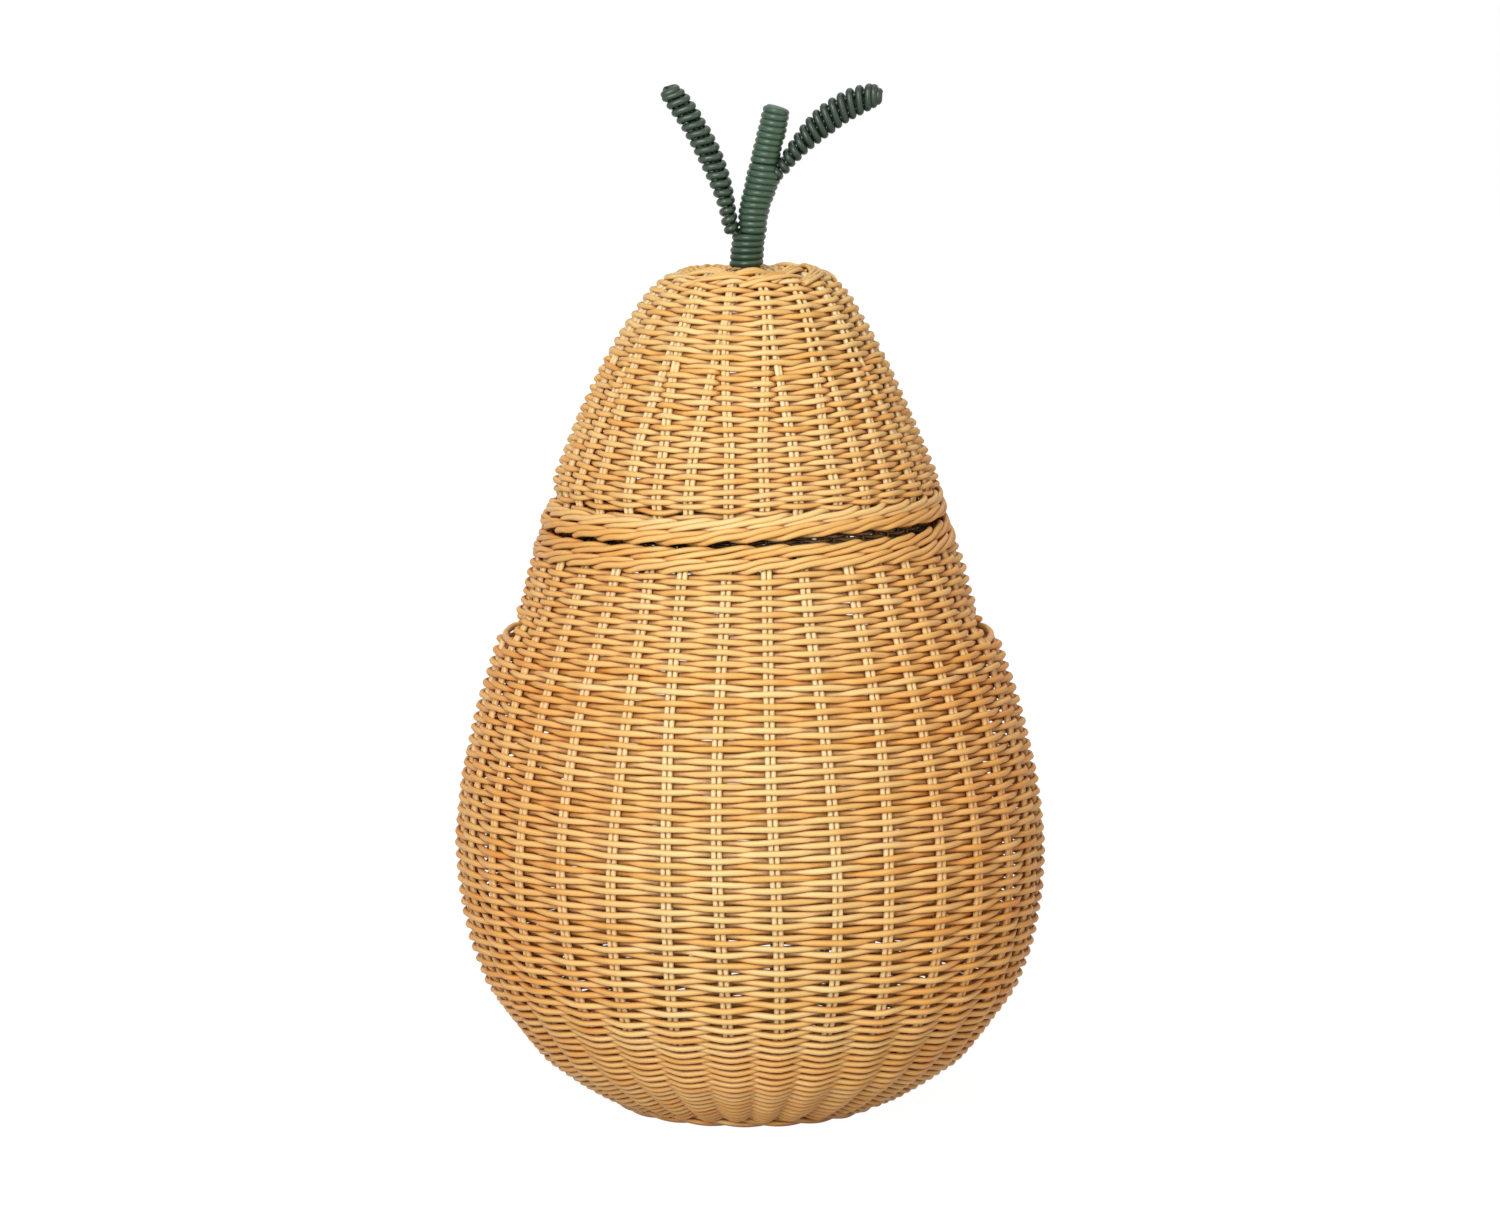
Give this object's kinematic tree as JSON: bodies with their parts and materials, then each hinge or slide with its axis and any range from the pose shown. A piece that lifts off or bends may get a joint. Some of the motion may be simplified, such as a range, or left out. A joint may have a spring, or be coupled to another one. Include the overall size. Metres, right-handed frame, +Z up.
{
  "type": "lidded storage basket",
  "caption": "Pear-shaped woven rattan basket with finger slots at its sides and a lift-off lid that carries a wrapped stem and woven leaves.",
  "frame": {"origin": "on the surface that the basket stands on, at the centre of the foot ring", "axes": "+Z up; the front is towards -Y; +X is to the right, the side that the stem leans to; the finger slots face -X and +X"},
  "size_m": [0.3338, 0.3338, 0.588],
  "materials": {
    "rattan": "natural round rattan core, smooth with a light satin gloss",
    "pale_rattan": "paler natural rattan core, as in the stakes, light satin gloss",
    "green_rattan": "rattan core dyed dark green, satin gloss",
    "core_wood": "plain turned wood, matt"
  },
  "bodies": {
    "basket": {"foot_border": "rattan", "base_sticks": "pale_rattan", "base_weave": "rattan", "bowl_siding": "rattan", "belly_siding": "rattan", "front_grip_panel": "rattan", "back_grip_panel": "rattan", "upper_siding": "rattan", "left_grip_sill": "rattan", "left_grip_bar": "rattan", "right_grip_sill": "rattan", "right_grip_bar": "rattan", "body_wale": "rattan", "body_border": "rattan"},
    "lid": {"lid_collar": "rattan", "lid_border": "rattan", "lid_wale": "rattan", "lid_lower_siding": "rattan", "lid_upper_siding": "rattan", "crown_border": "rattan", "crown_weave": "rattan", "stem_core": "core_wood", "stem_peg": "core_wood", "stem_wrap_base": "green_rattan", "stem_wrap_middle": "green_rattan", "stem_wrap_top": "green_rattan", "left_leaf_rib": "green_rattan", "left_leaf_edge_rod": "green_rattan", "left_leaf_weave": "green_rattan", "right_leaf_rib": "green_rattan", "right_leaf_edge_rod": "green_rattan", "right_leaf_weave": "green_rattan"}
  },
  "joints": [
    {"name": "lid_lift", "type": "slide", "parent": "basket", "child": "lid", "axis": [0, 0, 1], "range_m": [0, 0.22]}
  ]
}
